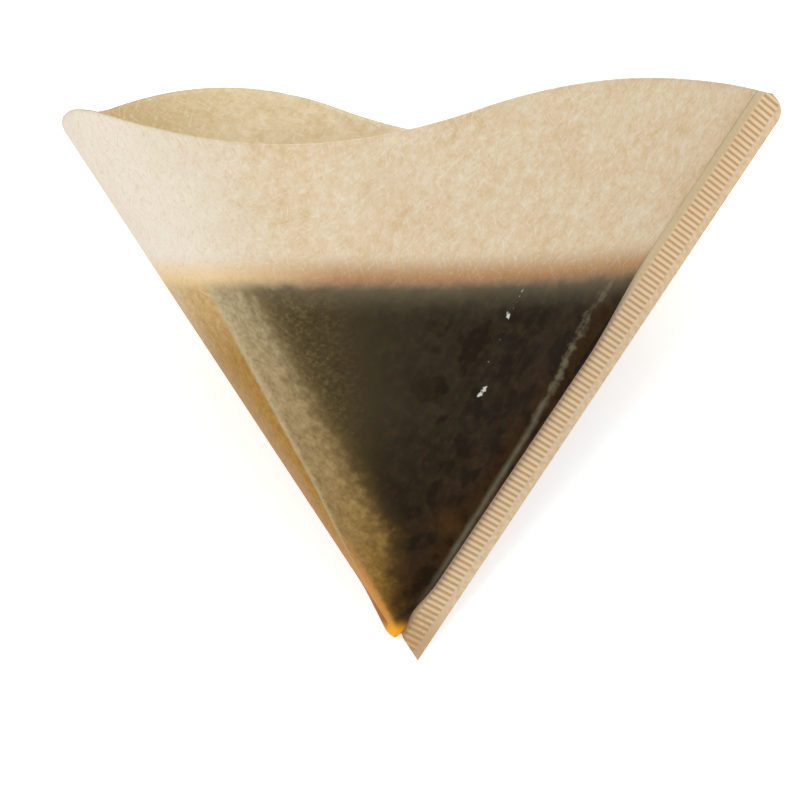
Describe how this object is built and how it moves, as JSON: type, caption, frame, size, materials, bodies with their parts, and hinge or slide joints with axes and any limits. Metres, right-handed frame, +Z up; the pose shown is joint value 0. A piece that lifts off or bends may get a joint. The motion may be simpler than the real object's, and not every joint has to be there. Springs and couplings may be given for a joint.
{
  "type": "paper coffee filter",
  "caption": "Cone coffee filter of unbleached paper, crimped along one side, opened and soaked with coffee, lying on its back.",
  "frame": {"origin": "middle of the footprint's box, on the surface the filter lies on", "axes": "+Z up; the mouth looks toward +Y, the point toward -Y, the fold is on the -X side and the crimped seam on the +X side"},
  "size_m": [0.1308, 0.1152, 0.0909],
  "materials": {
    "filter_paper": "matte"
  },
  "bodies": {
    "root": {"filter_paper": "filter_paper"}
  },
  "joints": []
}
